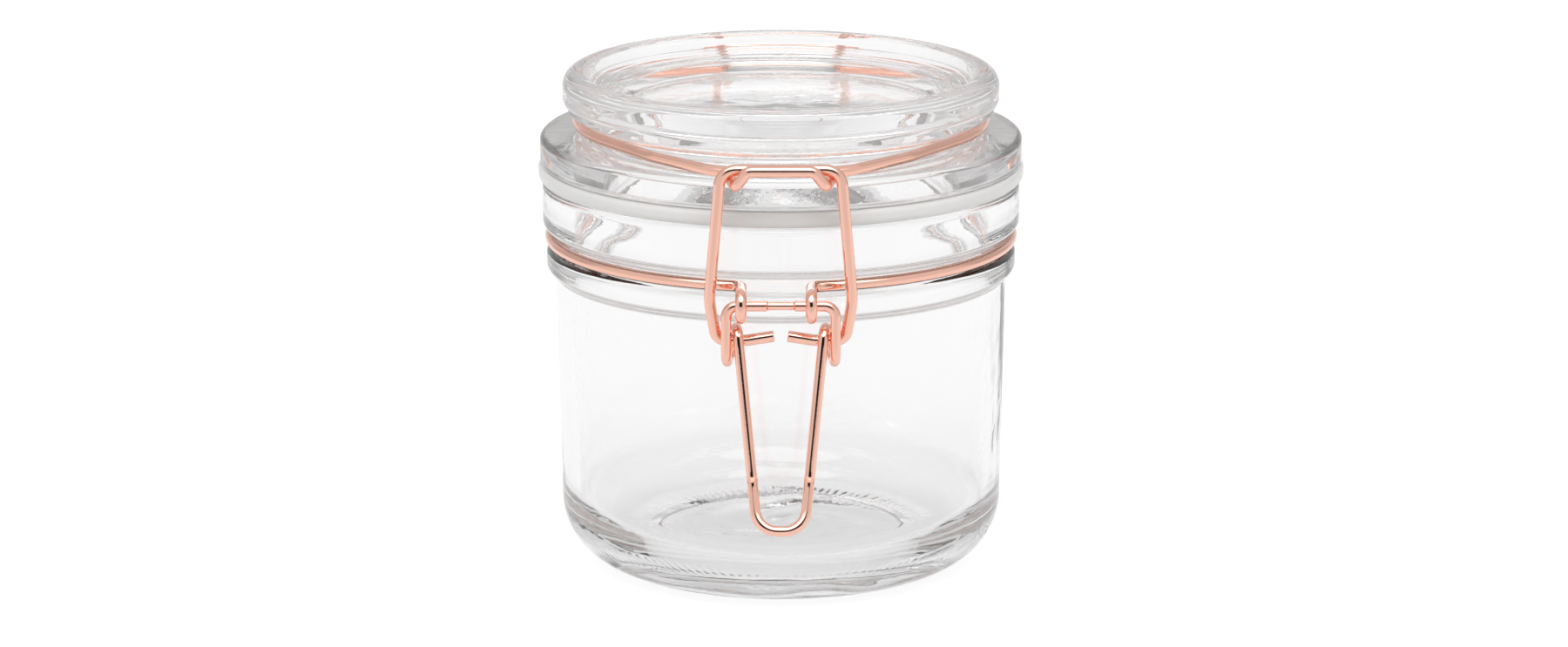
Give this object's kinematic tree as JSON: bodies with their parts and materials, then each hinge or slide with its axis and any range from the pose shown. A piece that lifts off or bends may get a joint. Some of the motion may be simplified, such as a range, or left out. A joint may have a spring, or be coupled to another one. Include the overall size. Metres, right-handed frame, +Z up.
{
  "type": "clip-top storage jar",
  "caption": "Round clear glass storage jar with a hinged glass lid, a silicone seal ring and a copper wire lever clamp.",
  "frame": {"origin": "centre of the ring the jar stands on, on the jar's axis", "axes": "+Z up along the jar's axis, -Y towards the lever at the front, +Y towards the hinge, +X to the right when seen from the front"},
  "size_m": [0.0958, 0.1155, 0.0991],
  "materials": {
    "jar_glass": "clear polished soda glass",
    "lid_glass": "clear polished pressed glass",
    "silicone": "translucent white silicone",
    "copper_wire": "polished rose-gold copper plating"
  },
  "bodies": {
    "jar": {"jar_body": "jar_glass", "neck_wire": "copper_wire"},
    "lid": {"glass_lid": "lid_glass", "seal_ring": "silicone", "lid_wire": "copper_wire"},
    "lever": {"lever": "copper_wire", "lever_axle_pin": "copper_wire"},
    "bail": {"bail": "copper_wire"}
  },
  "joints": [
    {"name": "lid_hinge", "type": "hinge", "parent": "jar", "child": "lid", "pos_m": [0, 0.0502, 0.08665], "axis": [-1, 0, 0], "range_deg": [0, 180]},
    {"name": "lever_pivot", "type": "hinge", "parent": "jar", "child": "lever", "pos_m": [0, -0.052, 0.0638], "axis": [-1, 0, 0], "range_deg": [0, 110]},
    {"name": "bail_pivot", "type": "hinge", "parent": "lever", "child": "bail", "pos_m": [0, -0.04942, 0.0565], "axis": [-1, 0, 0], "range_deg": [-90, 0]}
  ],
  "couplings": [
    {"joint": "bail_pivot", "follows": "lever_pivot", "ratio": -0.785}
  ]
}
